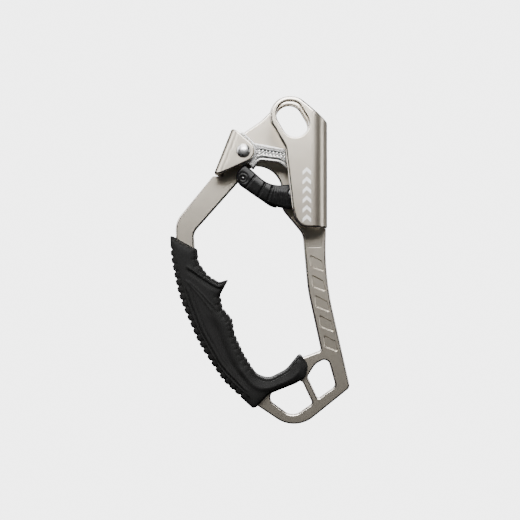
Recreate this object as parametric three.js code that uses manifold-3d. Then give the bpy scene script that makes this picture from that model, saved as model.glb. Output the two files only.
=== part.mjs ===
// A handled rope ascender (rope clamp with a hand loop), in millimetres, +Z up.
//
// The rope runs up the Z axis, through a channel folded from the same sheet as the
// handle. The origin lies on the rope's centreline, level with the cam's axle. The
// front of the tool faces -Y and the hand loop hangs to the left of the rope (-X).

import * as THREE from "three";
import { mergeVertices } from "three/addons/utils/BufferGeometryUtils.js";
import Module from "manifold-3d";

const wasm = await Module();
wasm.setup();

// ---------------------------------------------------------------- driving dimensions

const SHEET = 3.6;                      // thickness of the aluminium sheet
const CHANNEL_GAP = 13.6;               // clear gap between the two walls of the channel
const BACK_FACE = CHANNEL_GAP / 2;      // front face of the back plate, in y
const BACK_OUT = BACK_FACE + SHEET;     // rear face of the back plate
const FRONT_OUT = -BACK_OUT;            // front face of the flange and of the ear
const MID_PLATE = BACK_FACE + SHEET / 2;

const APEX_X = 10.4;                    // outermost line of the channel's bend
const FRONT_BEND = BACK_OUT;            // outer radius of the bend towards the flange
const REAR_BEND = 6.4;                  // outer radius of the bend towards the plate
const FLANGE_BOTTOM = -44.7;

const FOLD_FOOT = [-57.3, -13.3];       // lower outer corner of the ear's fold
const FOLD_LEAN = THREE.MathUtils.degToRad(21.7);
const EAR_BEND = 5.4;                   // outer radius of the ear's two bends
const EAR_WEB = 11.5;                   // from the axle out to the web between the bends

const AXLE = [-39.0, 0.0];
const AXLE_R = 3.0;
const DOME_R = 4.15;
const DOME_H = 2.1;
const BUSH_R = 3.9;
const RUNNING = 0.12;                   // radial clearance of a turning fit

const CAM_HALF = 6.0;                   // half the cam's width, in y
const NOSE_HALF = 4.2;                  // half the width of its toothed nose
const HUB_R = 7.2;
const SPIRAL_R = 41.9;                  // the rope face is a logarithmic spiral about
const SPIRAL_K = 0.32;                  // the axle: r = SPIRAL_R * exp(SPIRAL_K * angle)
const SPIRAL_FROM = 2.5;
const SPIRAL_TO = 39.0;
const TONGUE_HALF = 2.6;                // the cam's leg between the catch's cheeks

const SPRING_POCKET_R = 5.7;            // the cam spring's pocket, from inside the cam
const SPRING_POCKET_FROM = 0.6;         // back to its rear face
const WASHER_R = 6.9;
const WASHER_FROM = CAM_HALF + 0.1;
const WASHER_TO = BACK_FACE - 0.12;

const CATCH_PIVOT = [-10.7, -24.2];
const CATCH_PIN_R = 1.95;
const CATCH_HALF = 6.1;
const CATCH_POCKET_R = 3.7;             // the catch spring's pocket, in the rear cheek
const CATCH_POCKET_TO = 5.2;
const HOOK = [-39.4, -15.5];
const HOOK_R = 0.9;

const GRIP_LINER = 6.0;                 // half thickness of the grip's toothed liner
const GRIP_HALF = 10.6;                 // half thickness over both pads
const PAD_CROWN = 2.6;                  // how far the pads' faces stand above their edges
const PAD_EDGE = 1.9;                   // how far the rounding reaches in from the edge
const GAP = 0.3;                        // gap kept between touching pieces

// ---------------------------------------------------------------- outlines

// Points of an arc from one angle to another, close enough together to stay within
// the given sagitta of the true arc.
function arcPoints(centre, radius, from, to, clockwise, sagitta = 0.05) {
  const full = 2 * Math.PI;
  const turn = clockwise ? (from - to + full) % full : (to - from + full) % full;
  const step = 2 * Math.acos(Math.max(0, 1 - sagitta / radius));
  const count = Math.max(1, Math.ceil(turn / step));
  const points = [];
  for (let index = 0; index <= count; index += 1) {
    const angle = from + (clockwise ? -1 : 1) * turn * index / count;
    points.push(new THREE.Vector2(
      centre.x + radius * Math.cos(angle),
      centre.y + radius * Math.sin(angle),
    ));
  }
  return points;
}

// Corners [x, z, radius] become a closed outline in the XZ plane, each corner an arc.
function roundedOutline(corners, sagitta = 0.05) {
  const count = corners.length;
  const points = corners.flatMap(([x, z, radius], index) => {
    const before = corners[(index + count - 1) % count];
    const after = corners[(index + 1) % count];
    const corner = new THREE.Vector2(x, z);
    if (!radius) return [corner];
    const toBefore = new THREE.Vector2(before[0] - x, before[1] - z).normalize();
    const toAfter = new THREE.Vector2(after[0] - x, after[1] - z).normalize();
    const half = Math.acos(THREE.MathUtils.clamp(toBefore.dot(toAfter), -1, 1)) / 2;
    const reach = radius / Math.tan(half);
    const start = corner.clone().addScaledVector(toBefore, reach);
    const end = corner.clone().addScaledVector(toAfter, reach);
    const inward = toBefore.clone().add(toAfter).normalize();
    const centre = corner.clone().addScaledVector(inward, radius / Math.sin(half));
    const clockwise = toBefore.cross(toAfter) > 0;
    const from = Math.atan2(start.y - centre.y, start.x - centre.x);
    const to = Math.atan2(end.y - centre.y, end.x - centre.x);
    return arcPoints(centre, radius, from, to, clockwise, sagitta);
  });
  return new THREE.Shape(points.filter((point, index) => {
    const before = points[(index + points.length - 1) % points.length];
    return point.distanceTo(before) > 0.01;
  }));
}

function circle([x, z], radius, sagitta = 0.02) {
  const centre = new THREE.Vector2(x, z);
  const half = arcPoints(centre, radius, 0, Math.PI, false, sagitta);
  const rest = arcPoints(centre, radius, Math.PI, 2 * Math.PI - 1e-9, false, sagitta);
  return new THREE.Shape([...half.slice(0, -1), ...rest.slice(0, -1)]);
}

// Where the straight edge through the corners a and b stands at height z.
function edgeAt(a, b, z) {
  return a[0] + (b[0] - a[0]) * (z - a[1]) / (b[1] - a[1]);
}

// ---------------------------------------------------------------- solids

// A BufferGeometry as a closed solid that can be joined and cut.
function solid(geometry) {
  const bare = geometry.index ? geometry.toNonIndexed() : geometry.clone();
  bare.deleteAttribute("normal");
  bare.deleteAttribute("uv");
  const merged = mergeVertices(bare, 1e-4);
  return new wasm.Manifold(new wasm.Mesh({
    numProp: 3,
    vertProperties: new Float32Array(merged.attributes.position.array),
    triVerts: new Uint32Array(merged.index.array),
  }));
}

// An outline in the XZ plane as a plate from y = from to y = to.
function plate(outline, from, to) {
  const geometry = new THREE.ExtrudeGeometry(outline, {
    depth: to - from,
    bevelEnabled: false,
  });
  geometry.rotateX(Math.PI / 2);
  geometry.translate(0, to, 0);
  return solid(geometry);
}

function block(low, high) {
  const size = high.map((value, axis) => value - low[axis]);
  const geometry = new THREE.BoxGeometry(...size);
  geometry.translate(...low.map((value, axis) => value + size[axis] / 2));
  return solid(geometry);
}

// A turned piece about the Y axis through a point: profile points are [radius, y].
function turned(profile, [x, z], segments = 40) {
  const points = profile.map(([radius, y]) => new THREE.Vector2(radius, y));
  const geometry = new THREE.LatheGeometry(points, segments);
  geometry.translate(x, 0, z);
  return solid(geometry);
}

// A coil of round wire about the Y axis through a point.
class CoilPath extends THREE.Curve {
  constructor(centre, radius, turns, from, to) {
    super();
    Object.assign(this, { centre, radius, turns, from, to });
  }

  getPoint(t, target = new THREE.Vector3()) {
    const angle = 2 * Math.PI * this.turns * t;
    const y = this.from + (this.to - this.from) * t;
    const x = this.centre[0] + this.radius * Math.cos(angle);
    const z = this.centre[1] + this.radius * Math.sin(angle);
    return target.set(x, y, z);
  }
}

function coil(centre, radius, wire, turns, from, to) {
  const section = circle([0, 0], wire / 2, wire / 12);
  const geometry = new THREE.ExtrudeGeometry(section, {
    steps: Math.round(turns * 12),
    extrudePath: new CoilPath(centre, radius, turns, from, to),
  });
  return solid(geometry);
}

function toMesh(name, body, colour, roughness, metalness) {
  const { vertProperties, triVerts } = body.getMesh();
  const geometry = new THREE.BufferGeometry();
  geometry.setAttribute("position", new THREE.BufferAttribute(vertProperties, 3));
  geometry.setIndex(new THREE.BufferAttribute(triVerts, 1));
  const material = new THREE.MeshStandardMaterial({ color: colour, roughness, metalness });
  const mesh = new THREE.Mesh(geometry, material);
  mesh.name = name;
  return mesh;
}

// ---------------------------------------------------------------- frame

const RING = [-12.1, 20.2];
const RING_R = 11.7;
const SLANT = [[-4.9, 29.9, 5], [APEX_X, 17.7, 2.5]];

const COLUMN_INNER = [[-3.7, -48.2, 10], [-0.6, -82, 80], [7.3, -118, 1.5]];
const COLUMN_OUTER = [[9.8, -74, 170], [24.8, -140.2, 3.5]];

// The flange at the front of the channel, with the ring's lobe at its top.
const FLANGE = [
  ...SLANT,
  [APEX_X, FLANGE_BOTTOM, 0.4],
  [-7.8, FLANGE_BOTTOM, 8.5],
  [-10.8, -33, 14],
  [-14.9, 2.0, 10],
  [-21.0, 12.5, 3],
];

// The ear that carries the front end of the axle.
const EAR = [
  [-45.7, 14.2, 2.2],
  [-27.0, -1.7, 6.6],
  [-52.6, -13.3, 1.5],
  [...FOLD_FOOT, 1.0],
];

// The back plate: behind the channel and the ear, then the whole hand loop.
const LOOP_OUTER = [
  [-45.7, 14.2, 2.2],
  [-28.6, 20.0, 24],
  [-21.5, 27.0, 2],
  ...SLANT,
  [APEX_X, FLANGE_BOTTOM - 0.8, 0.6],
  ...COLUMN_OUTER,
  [-8.0, -166.6, 18.5],
  [-49.0, -139.2, 30],
  [-70.5, -101, 60],
  [-79.4, -68, 60],
  [-80.2, -40.4, 14],
  [...FOLD_FOOT, 1.5],
];

const HAND_HOLE = [
  [-33.8, -7.1, 3.5],
  [-16.6, -8.7, 15],
  [-16.0, -33.4, 6],
  ...COLUMN_INNER,
  [-4.6, -122.4, 6],
  [-17.8, -136.2, 12],
  [-32.6, -139.2, 9],
  [-60.3, -94, 40],
  [-67.4, -74, 60],
  [-69.4, -47.2, 8],
];

const FOOT_HOLE_LEFT = [
  [-27.6, -145.2, 4.4],
  [-4.5, -135.6, 2.6],
  [2.2, -149.9, 1.8],
  [-9.8, -158.2, 8],
];

const FOOT_HOLE_RIGHT = [
  [11.3, -122.1, 3.4],
  [16.1, -139.4, 3.2],
  [5.4, -147.1, 1.3],
  [-0.9, -133.7, 2.5],
  [3.9, -126.2, 8],
];

// The hole through the ring is a short slot that leans down to the right.
const TOP_HOLE = { centre: [-10.4, 18.5], radius: 7.85, half: 3.1, lean: -59.5 };

// Pockets pressed into the front of the column, one below the other.
const POCKETS = { count: 5, top: -60.2, pitch: 12.05, height: 7.3, slope: -0.46 };
const POCKET_RIM = 2.6;
const POCKET_DEPTH = 0.5;

// The pocket above them runs up under the foot of the flange.
const TOP_POCKET = [
  [-5.6, -43.5, 0],
  [9.2, -43.5, 0],
  [9.2, -49.0, 0.6],
  [7.2, -51.2, 0.6],
  [7.2, -56.0, 0.6],
  [-1.0, -56.0, 1.5],
];

function channelFold() {
  const profile = new THREE.Shape();
  const rear = APEX_X - REAR_BEND;
  const rearY = BACK_OUT - REAR_BEND;
  profile.moveTo(-40, FRONT_OUT);
  profile.lineTo(0, FRONT_OUT);
  profile.absarc(0, 0, FRONT_BEND, -Math.PI / 2, 0, false);
  profile.absarc(rear, rearY, REAR_BEND, 0, Math.PI / 2, false);
  profile.lineTo(rear - 1, BACK_OUT);
  profile.lineTo(rear - 1, BACK_FACE);
  profile.absarc(rear, rearY, REAR_BEND - SHEET, Math.PI / 2, 0, true);
  profile.absarc(0, 0, FRONT_BEND - SHEET, 0, -Math.PI / 2, true);
  profile.lineTo(-40, FRONT_OUT + SHEET);
  profile.closePath();
  const height = 90;
  const geometry = new THREE.ExtrudeGeometry(profile, {
    depth: height,
    bevelEnabled: false,
    curveSegments: 10,
  });
  geometry.translate(0, 0, FLANGE_BOTTOM - 5);
  const lobe = plate(circle(RING, RING_R), FRONT_OUT - 1, BACK_OUT + 1);
  const outline = plate(roundedOutline(FLANGE), FRONT_OUT - 1, BACK_OUT + 1).add(lobe);
  return solid(geometry).intersect(outline);
}

// Unit vectors of the ear's fold: out of the web, and up along it.
const FOLD_OUT = new THREE.Vector3(-Math.cos(FOLD_LEAN), 0, Math.sin(FOLD_LEAN));
const FOLD_UP = new THREE.Vector3(Math.sin(FOLD_LEAN), 0, Math.cos(FOLD_LEAN));

// Puts a shape drawn as (out of the web, y), extruded downwards, at the ear's fold.
function atFold(shape, length) {
  const geometry = new THREE.ExtrudeGeometry(shape, {
    depth: length,
    bevelEnabled: false,
    curveSegments: 8,
  });
  const down = FOLD_UP.clone().negate();
  const basis = new THREE.Matrix4().makeBasis(FOLD_OUT, new THREE.Vector3(0, 1, 0), down);
  const top = new THREE.Vector3(AXLE[0], 0, AXLE[1]).addScaledVector(FOLD_UP, length / 2);
  geometry.applyMatrix4(basis.setPosition(top));
  return solid(geometry);
}

function earFold() {
  const inner = EAR_BEND - SHEET;
  const flat = EAR_WEB - EAR_BEND;
  const bendY = BACK_OUT - EAR_BEND;
  const profile = new THREE.Shape();
  profile.moveTo(-30, FRONT_OUT);
  profile.lineTo(-30, FRONT_OUT + SHEET);
  profile.lineTo(flat, FRONT_OUT + SHEET);
  profile.absarc(flat, -bendY, inner, -Math.PI / 2, 0, false);
  profile.absarc(flat, bendY, inner, 0, Math.PI / 2, false);
  profile.lineTo(flat - 1, BACK_FACE);
  profile.lineTo(flat - 1, BACK_OUT);
  profile.absarc(flat, bendY, EAR_BEND, Math.PI / 2, 0, true);
  profile.absarc(flat, -bendY, EAR_BEND, 0, -Math.PI / 2, true);
  profile.closePath();
  const outline = plate(roundedOutline(EAR), FRONT_OUT - 1, BACK_OUT + 1);
  return atFold(profile, 60).intersect(outline);
}

// The back plate stops where the two folds begin.
function backPlate() {
  const lobe = plate(circle(RING, RING_R), BACK_FACE, BACK_OUT);
  const whole = plate(roundedOutline(LOOP_OUTER), BACK_FACE, BACK_OUT).add(lobe);
  const hand = plate(roundedOutline(HAND_HOLE), BACK_FACE - 1, BACK_OUT + 1);
  const overChannel = block(
    [APEX_X - REAR_BEND, BACK_FACE - 1, FLANGE_BOTTOM],
    [APEX_X + 1, BACK_OUT + 1, 40],
  );
  const strip = new THREE.Shape();
  strip.moveTo(EAR_WEB - EAR_BEND, BACK_FACE - 1);
  strip.lineTo(EAR_WEB + 4, BACK_FACE - 1);
  strip.lineTo(EAR_WEB + 4, BACK_OUT + 1);
  strip.lineTo(EAR_WEB - EAR_BEND, BACK_OUT + 1);
  strip.closePath();
  const aboveFoot = block([-90, BACK_FACE - 2, FOLD_FOOT[1]], [-20, BACK_OUT + 2, 40]);
  const overEar = atFold(strip, 60).intersect(aboveFoot);
  return whole.subtract(hand).subtract(overChannel).subtract(overEar);
}

function topHole() {
  const { centre, radius, half, lean } = TOP_HOLE;
  const angle = THREE.MathUtils.degToRad(lean);
  const dx = half * Math.cos(angle);
  const dz = half * Math.sin(angle);
  const side = angle + Math.PI / 2;
  const lower = new THREE.Vector2(centre[0] + dx, centre[1] + dz);
  const upper = new THREE.Vector2(centre[0] - dx, centre[1] - dz);
  const slot = new THREE.Shape([
    ...arcPoints(lower, radius, side - Math.PI, side, false),
    ...arcPoints(upper, radius, side, side + Math.PI, false),
  ]);
  return plate(slot, FRONT_OUT - 1, BACK_OUT + 1);
}

function pocket(index) {
  const { top, pitch, height, slope } = POCKETS;
  const z = top - index * pitch;
  const inner = z > COLUMN_INNER[1][1] ? COLUMN_INNER.slice(0, 2) : COLUMN_INNER.slice(1, 3);
  const outerTop = [9.8, -50];
  const outer = z > -80 ? [outerTop, [12.0, -80]] : [[12.0, -80], [20.2, -120.4]];
  const left = edgeAt(...inner, z - height / 2) + POCKET_RIM;
  const right = edgeAt(...outer, z - height) - POCKET_RIM;
  const drop = slope * (right - left);
  const outline = [
    [left, z, 0.8],
    [right, z + drop, 0.8],
    [right + 1.2, z + drop - height, 0.8],
    [left + 0.3, z - height, 2.4],
  ];
  return plate(roundedOutline(outline), BACK_FACE - 1, BACK_FACE + POCKET_DEPTH);
}

function frame() {
  let body = backPlate().add(channelFold()).add(earFold());
  const holes = [
    topHole(),
    plate(roundedOutline(FOOT_HOLE_LEFT), BACK_FACE - 1, BACK_OUT + 1),
    plate(roundedOutline(FOOT_HOLE_RIGHT), BACK_FACE - 1, BACK_OUT + 1),
    plate(circle(AXLE, AXLE_R + RUNNING), FRONT_OUT - 1, BACK_OUT + 1),
  ];
  holes.push(plate(roundedOutline(TOP_POCKET), BACK_FACE - 1, BACK_FACE + POCKET_DEPTH));
  for (let index = 0; index < POCKETS.count; index += 1) {
    holes.push(pocket(index));
  }
  for (const hole of holes) body = body.subtract(hole);
  return body;
}

// ---------------------------------------------------------------- cam

// The rope face: points of the spiral, from its upper end to its lower end.
function spiralPoint(degrees) {
  const angle = THREE.MathUtils.degToRad(degrees);
  const radius = SPIRAL_R * Math.exp(SPIRAL_K * angle);
  return [AXLE[0] + radius * Math.cos(angle), AXLE[1] - radius * Math.sin(angle)];
}

function camOutline() {
  const face = [];
  const steps = 12;
  for (let step = 0; step <= steps; step += 1) {
    const degrees = SPIRAL_FROM + (SPIRAL_TO - SPIRAL_FROM) * step / steps;
    face.push([...spiralPoint(degrees), 0]);
  }
  return roundedOutline([
    [-41.0, 12.9, 1.8],
    [-32.4, 4.9, 1.2],
    ...face,
    [-4.0, -33.0, 3],
    [-16.4, -30.6, 5.5],
    [-11.6, -18.0, 3],
    [-12.4, -11.2, 2.5],
    [-18.2, -6.3, 7],
    [-29.8, -5.0, 2.6],
    [-33.4, -9.7, 0.5],
    [-38.5, -5.4, 3],
    [-43.5, -6.2, 3],
    [-46.0, 2.0, 3],
  ]);
}

// One tooth: a low four-sided spike that leans up the rope.
function tooth(degrees, y) {
  const size = 1.15;
  const geometry = new THREE.ConeGeometry(size, 2.2, 4);
  geometry.rotateZ(-Math.PI / 2 + THREE.MathUtils.degToRad(20));
  const [x, z] = spiralPoint(degrees);
  geometry.rotateX(Math.PI / 2);
  geometry.translate(x - 0.1, y, z);
  return solid(geometry);
}

function cam() {
  let body = plate(camOutline(), -CAM_HALF, CAM_HALF);
  body = body.add(plate(circle(AXLE, HUB_R), -CAM_HALF, CAM_HALF));
  // The nose narrows so that it fits down inside the channel's bend.
  for (const side of [-1, 1]) {
    const cheek = new THREE.Shape();
    cheek.moveTo(-3.5, side * (CAM_HALF + 0.5));
    cheek.lineTo(-3.5, side * CAM_HALF);
    cheek.lineTo(1.0, side * NOSE_HALF);
    cheek.lineTo(3.4, side * NOSE_HALF);
    cheek.lineTo(6.0, side * (NOSE_HALF - 1.8));
    cheek.lineTo(8.0, side * (CAM_HALF + 0.5));
    cheek.closePath();
    const geometry = new THREE.ExtrudeGeometry(cheek, { depth: 50, bevelEnabled: false });
    geometry.translate(0, 0, -45);
    body = body.subtract(solid(geometry));
    // Beside the tongue there is room for the catch's cheek.
    const low = [-24, side > 0 ? TONGUE_HALF : -CAM_HALF - 1, -45];
    const high = [-1.9, side > 0 ? CAM_HALF + 1 : -TONGUE_HALF, -16.4];
    body = body.subtract(block(low, high));
  }
  for (let row = 0; row < 9; row += 1) {
    const degrees = 6 + row * 3.6;
    const shift = row % 2 ? 0.5 : 0;
    for (const column of shift ? [-0.5, 0.5] : [-1, 0, 1]) {
      body = body.add(tooth(degrees, column * 2.2));
    }
  }
  const bore = plate(circle(AXLE, BUSH_R + RUNNING), -CAM_HALF - 1, CAM_HALF + 1);
  const springPocket = plate(circle(AXLE, SPRING_POCKET_R), SPRING_POCKET_FROM, CAM_HALF + 1);
  const pivot = plate(circle(CATCH_PIVOT, CATCH_PIN_R + RUNNING), -CAM_HALF, CAM_HALF);
  return body.subtract(bore).subtract(springPocket).subtract(pivot);
}

// ---------------------------------------------------------------- cam's axle group

// A rivet with a domed head in front and a low, set head behind.
function camAxle() {
  const dome = [];
  const steps = 6;
  const seat = FRONT_OUT - 0.1;
  for (let step = 0; step <= steps; step += 1) {
    const angle = (Math.PI / 2) * step / steps;
    dome.push([DOME_R * Math.cos(angle), seat - DOME_H * Math.sin(angle)]);
  }
  dome[steps][0] = 0;
  const rear = BACK_OUT + 0.1;
  return turned([
    ...dome.reverse(),
    [AXLE_R, seat],
    [AXLE_R, rear],
    [DOME_R, rear],
    [DOME_R, rear + 0.9],
    [DOME_R - 1.0, rear + 1.5],
    [0, rear + 1.6],
  ], AXLE, 28);
}

function tube(inner, outer, from, to, centre, segments = 40) {
  return turned([
    [inner, to], [outer, to], [outer, from], [inner, from], [inner, to],
  ].reverse(), centre, segments);
}

// ---------------------------------------------------------------- catch

const CATCH = [
  [-38.5, -7.0, 1.0],
  [-23.6, -20.1, 17],
  [-3.6, -18.7, 6.2],
  [-3.6, -34.3, 7.6],
  [-23.1, -32.0, 40],
  [-46.1, -15.9, 6],
];

function catchLever() {
  const body = plate(roundedOutline(CATCH), -CATCH_HALF, CATCH_HALF);
  const fork = block(
    [-19.6, -TONGUE_HALF - GAP, -45],
    [5, TONGUE_HALF + GAP, -10],
  );
  const eye = plate(circle(CATCH_PIVOT, CATCH_PIN_R + RUNNING), -8, 8);
  const hook = plate(circle(HOOK, HOOK_R + RUNNING), -8, 8);
  const pocket = plate(circle(CATCH_PIVOT, CATCH_POCKET_R), TONGUE_HALF, CATCH_POCKET_TO);
  return body.subtract(fork).subtract(eye).subtract(hook).subtract(pocket);
}

// ---------------------------------------------------------------- grip

const GRIP = [
  [-83.0, -48.7, 0.8],
  [-67.5, -57.0, 0.6],
  [-66.5, -65.0, 6],
  [-61.0, -72.6, 8],
  [-54.3, -77.0, 2],
  [-48.4, -75.3, 0.5],
  [-53.4, -84.5, 1.5],
  [-52.0, -92.6, 4],
  [-46.0, -99.6, 4],
  [-44.8, -108, 10],
  [-39.3, -120.2, 20],
  [-31.6, -132.6, 8],
  [-24.0, -135.2, 8],
  [-13.5, -129.8, 14],
  [-5.3, -119.8, 1.6],
  [-0.7, -126.0, 4],
  [-2.0, -133.6, 5],
  [-8.0, -137.2, 8],
  [-24.0, -143.6, 6],
  [-31.6, -151.4, 1.0],
  [-33.8, -152.0, 1.5],
  [-51.6, -135.6, 40],
  [-66.0, -113.6, 80],
  [-77.8, -85.6, 80],
  [-82.6, -62, 60],
];

// The pads leave the toothed edge of the liner free all round.
const PAD = [
  [-81.6, -50.6, 2.6],
  [-69.0, -57.4, 2.6],
  [-68.2, -66.5, 6],
  [-53.2, -80.0, 2.6],
  [-56.0, -86.6, 3],
  [-54.4, -94.4, 4],
  [-48.8, -101.4, 5],
  [-47.2, -109, 10],
  [-42.0, -121.4, 20],
  [-33.6, -134.4, 8],
  [-24.0, -137.2, 8],
  [-12.4, -131.4, 10],
  [-6.0, -121.8, 2.6],
  [-2.4, -126.4, 3],
  [-3.4, -132.8, 3],
  [-8.8, -135.6, 6],
  [-25.0, -142.2, 6],
  [-33.0, -150.4, 2.6],
  [-50.2, -134.4, 40],
  [-64.4, -113.2, 80],
  [-76.4, -85.4, 80],
  [-81.4, -62, 60],
];

function gripLiner(frameBody) {
  const body = plate(roundedOutline(GRIP, 0.12), MID_PLATE - GRIP_LINER, MID_PLATE + GRIP_LINER);
  const grown = plateSlot();
  return body.subtract(grown).subtract(frameBody);
}

// The slot in the liner is the loop's own strip with a little room all round.
function plateSlot() {
  const grow = (corners, distance) => corners.map(([x, z, radius], index) => {
    const count = corners.length;
    const before = corners[(index + count - 1) % count];
    const after = corners[(index + 1) % count];
    const a = new THREE.Vector2(x - before[0], z - before[1]).normalize();
    const b = new THREE.Vector2(after[0] - x, after[1] - z).normalize();
    const normal = new THREE.Vector2(-a.y - b.y, a.x + b.x).normalize();
    const scale = distance / Math.cos(Math.acos(THREE.MathUtils.clamp(a.dot(b), -1, 1)) / 2);
    return [x + normal.x * scale, z + normal.y * scale, Math.max(radius, 0.3)];
  });
  const low = BACK_FACE - GAP;
  const high = BACK_OUT + GAP;
  const solidLoop = plate(roundedOutline(grow(LOOP_OUTER, GAP)), low, high);
  const hand = plate(roundedOutline(grow(HAND_HOLE, -GAP)), low - 1, high + 1);
  const foot = plate(roundedOutline(grow(FOOT_HOLE_LEFT, -GAP)), low - 1, high + 1);
  return solidLoop.subtract(hand).subtract(foot);
}

// One crowned pad: the front one for side = -1, the rear one for side = 1.
function gripPad(side) {
  const geometry = new THREE.ExtrudeGeometry(roundedOutline(PAD, 0.15), {
    depth: 2 * (GRIP_HALF - PAD_CROWN),
    bevelEnabled: true,
    bevelThickness: PAD_CROWN,
    bevelSize: PAD_EDGE,
    bevelOffset: -PAD_EDGE,
    bevelSegments: 3,
  });
  geometry.translate(0, 0, -(GRIP_HALF - PAD_CROWN));
  geometry.rotateX(Math.PI / 2);
  geometry.translate(0, MID_PLATE, 0);
  const face = MID_PLATE + side * (GRIP_LINER + GAP / 2);
  const far = MID_PLATE - side * 20;
  const low = [-100, Math.min(face, far), -170];
  const high = [20, Math.max(face, far), -30];
  return solid(geometry).subtract(block(low, high));
}

// ---------------------------------------------------------------- the assembly

const object = new THREE.Group();
const METAL = [0xb4afa7, 0.38, 1.0];
const STEEL = [0xc9c9c8, 0.25, 1.0];
const RUBBER = [0x232321, 0.7, 0.0];
const PLASTIC = [0x262625, 0.45, 0.0];
const BRONZE = [0xa88a4c, 0.35, 1.0];

const frameBody = frame();
object.add(toMesh("frame", frameBody, ...METAL));
object.add(toMesh("cam", cam(), ...STEEL));
object.add(toMesh("cam_axle", camAxle(), ...STEEL));
const bush = tube(AXLE_R + 0.05, BUSH_R, -BACK_FACE + 0.1, BACK_FACE - 0.1, AXLE);
object.add(toMesh("cam_bush", bush, ...BRONZE));
for (const [name, from, to] of [
  ["cam_washer_front", -WASHER_TO, -WASHER_FROM],
  ["cam_washer_rear", WASHER_FROM, WASHER_TO],
]) {
  const ring = tube(BUSH_R + RUNNING, WASHER_R, from, to, AXLE, 32);
  object.add(toMesh(name, ring, ...STEEL));
}
object.add(toMesh("cam_spring", coil(AXLE, 4.86, 1.0, 3.25, 1.3, 5.3), ...STEEL));
object.add(toMesh("catch_lever", catchLever(), ...PLASTIC));
const pin = tube(0.95, CATCH_PIN_R, -CATCH_HALF - 0.3, CATCH_HALF + 0.3, CATCH_PIVOT, 24);
object.add(toMesh("catch_pin", pin, ...STEEL));
const spring = coil(CATCH_PIVOT, 2.85, 0.6, 1.5, 3.3, 4.5);
object.add(toMesh("catch_spring", spring, ...STEEL));
const hook = plate(circle(HOOK, HOOK_R), -CATCH_HALF - 0.25, CATCH_HALF + 0.25);
object.add(toMesh("catch_stop_pin", hook, ...STEEL));
object.add(toMesh("grip_liner", gripLiner(frameBody), ...RUBBER));
object.add(toMesh("grip_front_pad", gripPad(-1), ...RUBBER));
object.add(toMesh("grip_rear_pad", gripPad(1), ...RUBBER));

export default object;
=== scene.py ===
"""A handled rope ascender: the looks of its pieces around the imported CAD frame.

Lengths are in millimetres in the tables and functions below and turn into metres
where a mesh is made. Outlines lie in the XZ plane, and depth is along Y.
"""

import math

import bmesh
import bpy
import numpy as np
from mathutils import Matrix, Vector
from mathutils.geometry import delaunay_2d_cdt


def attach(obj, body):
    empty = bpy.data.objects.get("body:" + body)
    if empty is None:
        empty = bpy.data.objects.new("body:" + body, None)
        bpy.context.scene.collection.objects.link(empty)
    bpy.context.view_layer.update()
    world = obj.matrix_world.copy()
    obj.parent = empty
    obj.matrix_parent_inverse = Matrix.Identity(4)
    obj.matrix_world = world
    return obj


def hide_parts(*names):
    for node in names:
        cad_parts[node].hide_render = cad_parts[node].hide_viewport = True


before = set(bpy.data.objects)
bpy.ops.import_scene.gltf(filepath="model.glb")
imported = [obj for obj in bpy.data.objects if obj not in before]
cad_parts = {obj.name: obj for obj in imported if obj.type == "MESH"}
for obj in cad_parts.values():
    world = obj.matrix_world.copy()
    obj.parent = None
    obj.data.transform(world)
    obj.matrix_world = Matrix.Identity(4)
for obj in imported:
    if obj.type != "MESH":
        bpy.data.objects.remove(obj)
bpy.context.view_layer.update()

MM = 0.001

# ---- driving dimensions

SHEET = 3.6  # thickness of the aluminium sheet
PLATE_FACE = 6.8  # front face of the back plate
PLATE_REAR = PLATE_FACE + SHEET
FLANGE_FACE = -PLATE_REAR  # front face of the flange and of the ear
MID_PLATE = PLATE_FACE + SHEET / 2

APEX = 10.4  # outermost line of the channel's bend
FRONT_BEND = 10.4  # outer radius of the bend towards the flange
REAR_BEND = 6.4  # outer radius of the bend towards the plate
FLANGE_FOOT = -44.7
SLIT = 0.03  # height of the relief slits at the ends of the folds

AXLE = (-39, 0)
AXLE_R = 3.0
AXLE_BORE = 3.12  # radius of the holes for it in the sheet
FOLD_LEAN = math.radians(21.7)
FOLD_FOOT = -13.3  # level foot of the ear
ELBOW = -57.7  # where the slit under the ear leaves the sheet's edge
EAR_BEND = 5.4  # outer radius of the ear's two bends
EAR_WEB = 11.5  # from the axle out to the web between the bends

CAM_HALF = 6.0  # half widths of the cam: at its hub,
NOSE_HALF = 4.2  # at the toothed nose,
TONGUE_HALF = 2.6  # and at the tongue that the catch's fork straddles
SPIRAL_R = 41.9  # the rope face is r = SPIRAL_R * exp(SPIRAL_K * angle)
SPIRAL_K = 0.32
SPIRAL_SPAN = (2.5, 39)  # its two ends, in degrees below the axle
CATCH_PIVOT = (-10.7, -24.2)
PIVOT_BORE = 2.07  # radius of the holes for the catch's pin
CATCH_HALF = 6.1
HOOK = (-39.4, -15.5)  # the stop pin at the catch's free end
GRIP_LINER = 6.0  # half thickness of the grip's toothed liner
GAP = 0.3  # kept between touching pieces

# ---- outlines


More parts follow.
